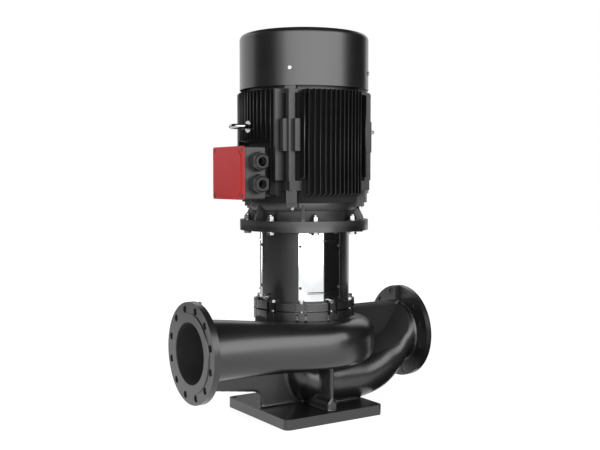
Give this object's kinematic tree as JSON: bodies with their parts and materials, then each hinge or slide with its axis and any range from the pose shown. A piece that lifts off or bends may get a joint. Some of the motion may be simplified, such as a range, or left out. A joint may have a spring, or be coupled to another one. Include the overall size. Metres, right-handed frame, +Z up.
{
  "type": "in-line circulation pump",
  "caption": "Vertical in-line centrifugal pump: cast volute casing with opposed flanges on a square foot, guarded coupling stool and finned electric motor with a side terminal box.",
  "frame": {"origin": "centre of the base plate's underside, on the shaft axis", "axes": "+Z up along the shaft, +X along the pipe towards the inlet flange, -X towards the outlet flange and the terminal box"},
  "size_m": [0.9, 0.493, 1.3248],
  "materials": {
    "casing": "satin paint over cast iron",
    "motor_paint": "satin paint over cast iron",
    "cowl_paint": "satin paint on sheet steel",
    "lid_red": "satin",
    "raw_iron": "machined casting",
    "bolts": "zinc plated",
    "steel": "machined",
    "dark_steel": "blackened",
    "shaft": "ground",
    "bearing_steel": "ground",
    "guard": "bright stainless sheet",
    "chrome": "bright",
    "bronze": "machined",
    "copper": "varnished wire",
    "electrical_steel": "laminated",
    "rubber": "matt",
    "gasket": "matt",
    "ceramic": "polished",
    "fan_plastic": "moulded",
    "board": "moulded",
    "gland": "moulded"
  },
  "bodies": {
    "frame": {"pump_housing": "casing", "wear_ring": "bronze", "cover_gasket": "gasket", "pump_cover": "casing", "head_bolts": "bolts", "motor_stool": "casing", "coupling_guard_front": "guard", "coupling_guard_inlet_side": "guard", "coupling_guard_outlet_side": "guard", "guard_screws": "bolts", "vent_valve_body": "bolts", "seal_seat": "ceramic", "motor_flange_shield": "motor_paint", "motor_flange_bolts": "bolts", "motor_flange_nuts": "bolts", "bearing_outer_rings": "bearing_steel", "bearing_cover": "raw_iron", "preload_spring": "steel", "motor_frame": "motor_paint", "frame_screws": "bolts", "stator_core": "electrical_steel", "stator_winding": "copper", "fan_end_shield": "motor_paint", "fan_end_screws": "steel", "fan_cover": "cowl_paint", "fan_cover_screws": "bolts", "lifting_eye": "chrome", "terminal_box": "motor_paint", "lid_gasket": "gasket", "terminal_lid": "lid_red", "lid_screws": "dark_steel", "terminal_board": "board", "terminal_studs": "bronze", "gland_bodies": "gland", "gland_seals": "rubber", "earth_screw": "bolts"},
    "vent_screw": {"vent_screw": "bronze"},
    "rotor": {"impeller": "raw_iron", "impeller_key": "steel", "impeller_washer": "steel", "impeller_screw": "steel", "pump_shaft": "shaft", "seal_head": "rubber", "seal_spring": "steel", "coupling_half_front": "steel", "coupling_half_rear": "steel", "coupling_screws": "dark_steel", "coupling_pin": "steel", "motor_shaft": "shaft", "rotor_core": "electrical_steel", "v_ring_seal": "rubber", "bearing_inner_rings": "bearing_steel", "cooling_fan": "fan_plastic", "fan_circlip": "steel"},
    "bearing_cage_set": {"bearing_balls": "bearing_steel", "bearing_cages": "bronze"},
    "gland_nut_upper": {"gland_nut_upper": "gland"},
    "gland_nut_lower": {"gland_nut_lower": "gland"}
  },
  "joints": [
    {"name": "shaft_spin", "type": "hinge", "parent": "frame", "child": "rotor", "pos_m": [0, 0, 0.5], "axis": [0, 0, 1], "continuous": true},
    {"name": "cage_spin", "type": "hinge", "parent": "frame", "child": "bearing_cage_set", "pos_m": [0, 0, 0.7], "axis": [0, 0, 1], "continuous": true},
    {"name": "vent_turn", "type": "hinge", "parent": "frame", "child": "vent_screw", "pos_m": [-0.1641, -0.01725, 0.4198], "axis": [-0.9945, -0.1045, 0], "range_deg": [0, 360]},
    {"name": "gland_upper_turn", "type": "hinge", "parent": "frame", "child": "gland_nut_upper", "pos_m": [-0.2542, -0.12, 0.88005], "axis": [0, -1, 0], "range_deg": [0, 360]},
    {"name": "gland_lower_turn", "type": "hinge", "parent": "frame", "child": "gland_nut_lower", "pos_m": [-0.2542, -0.12, 0.80655], "axis": [0, -1, 0], "range_deg": [0, 360]}
  ],
  "couplings": [
    {"joint": "cage_spin", "follows": "shaft_spin", "ratio": 0.384}
  ]
}
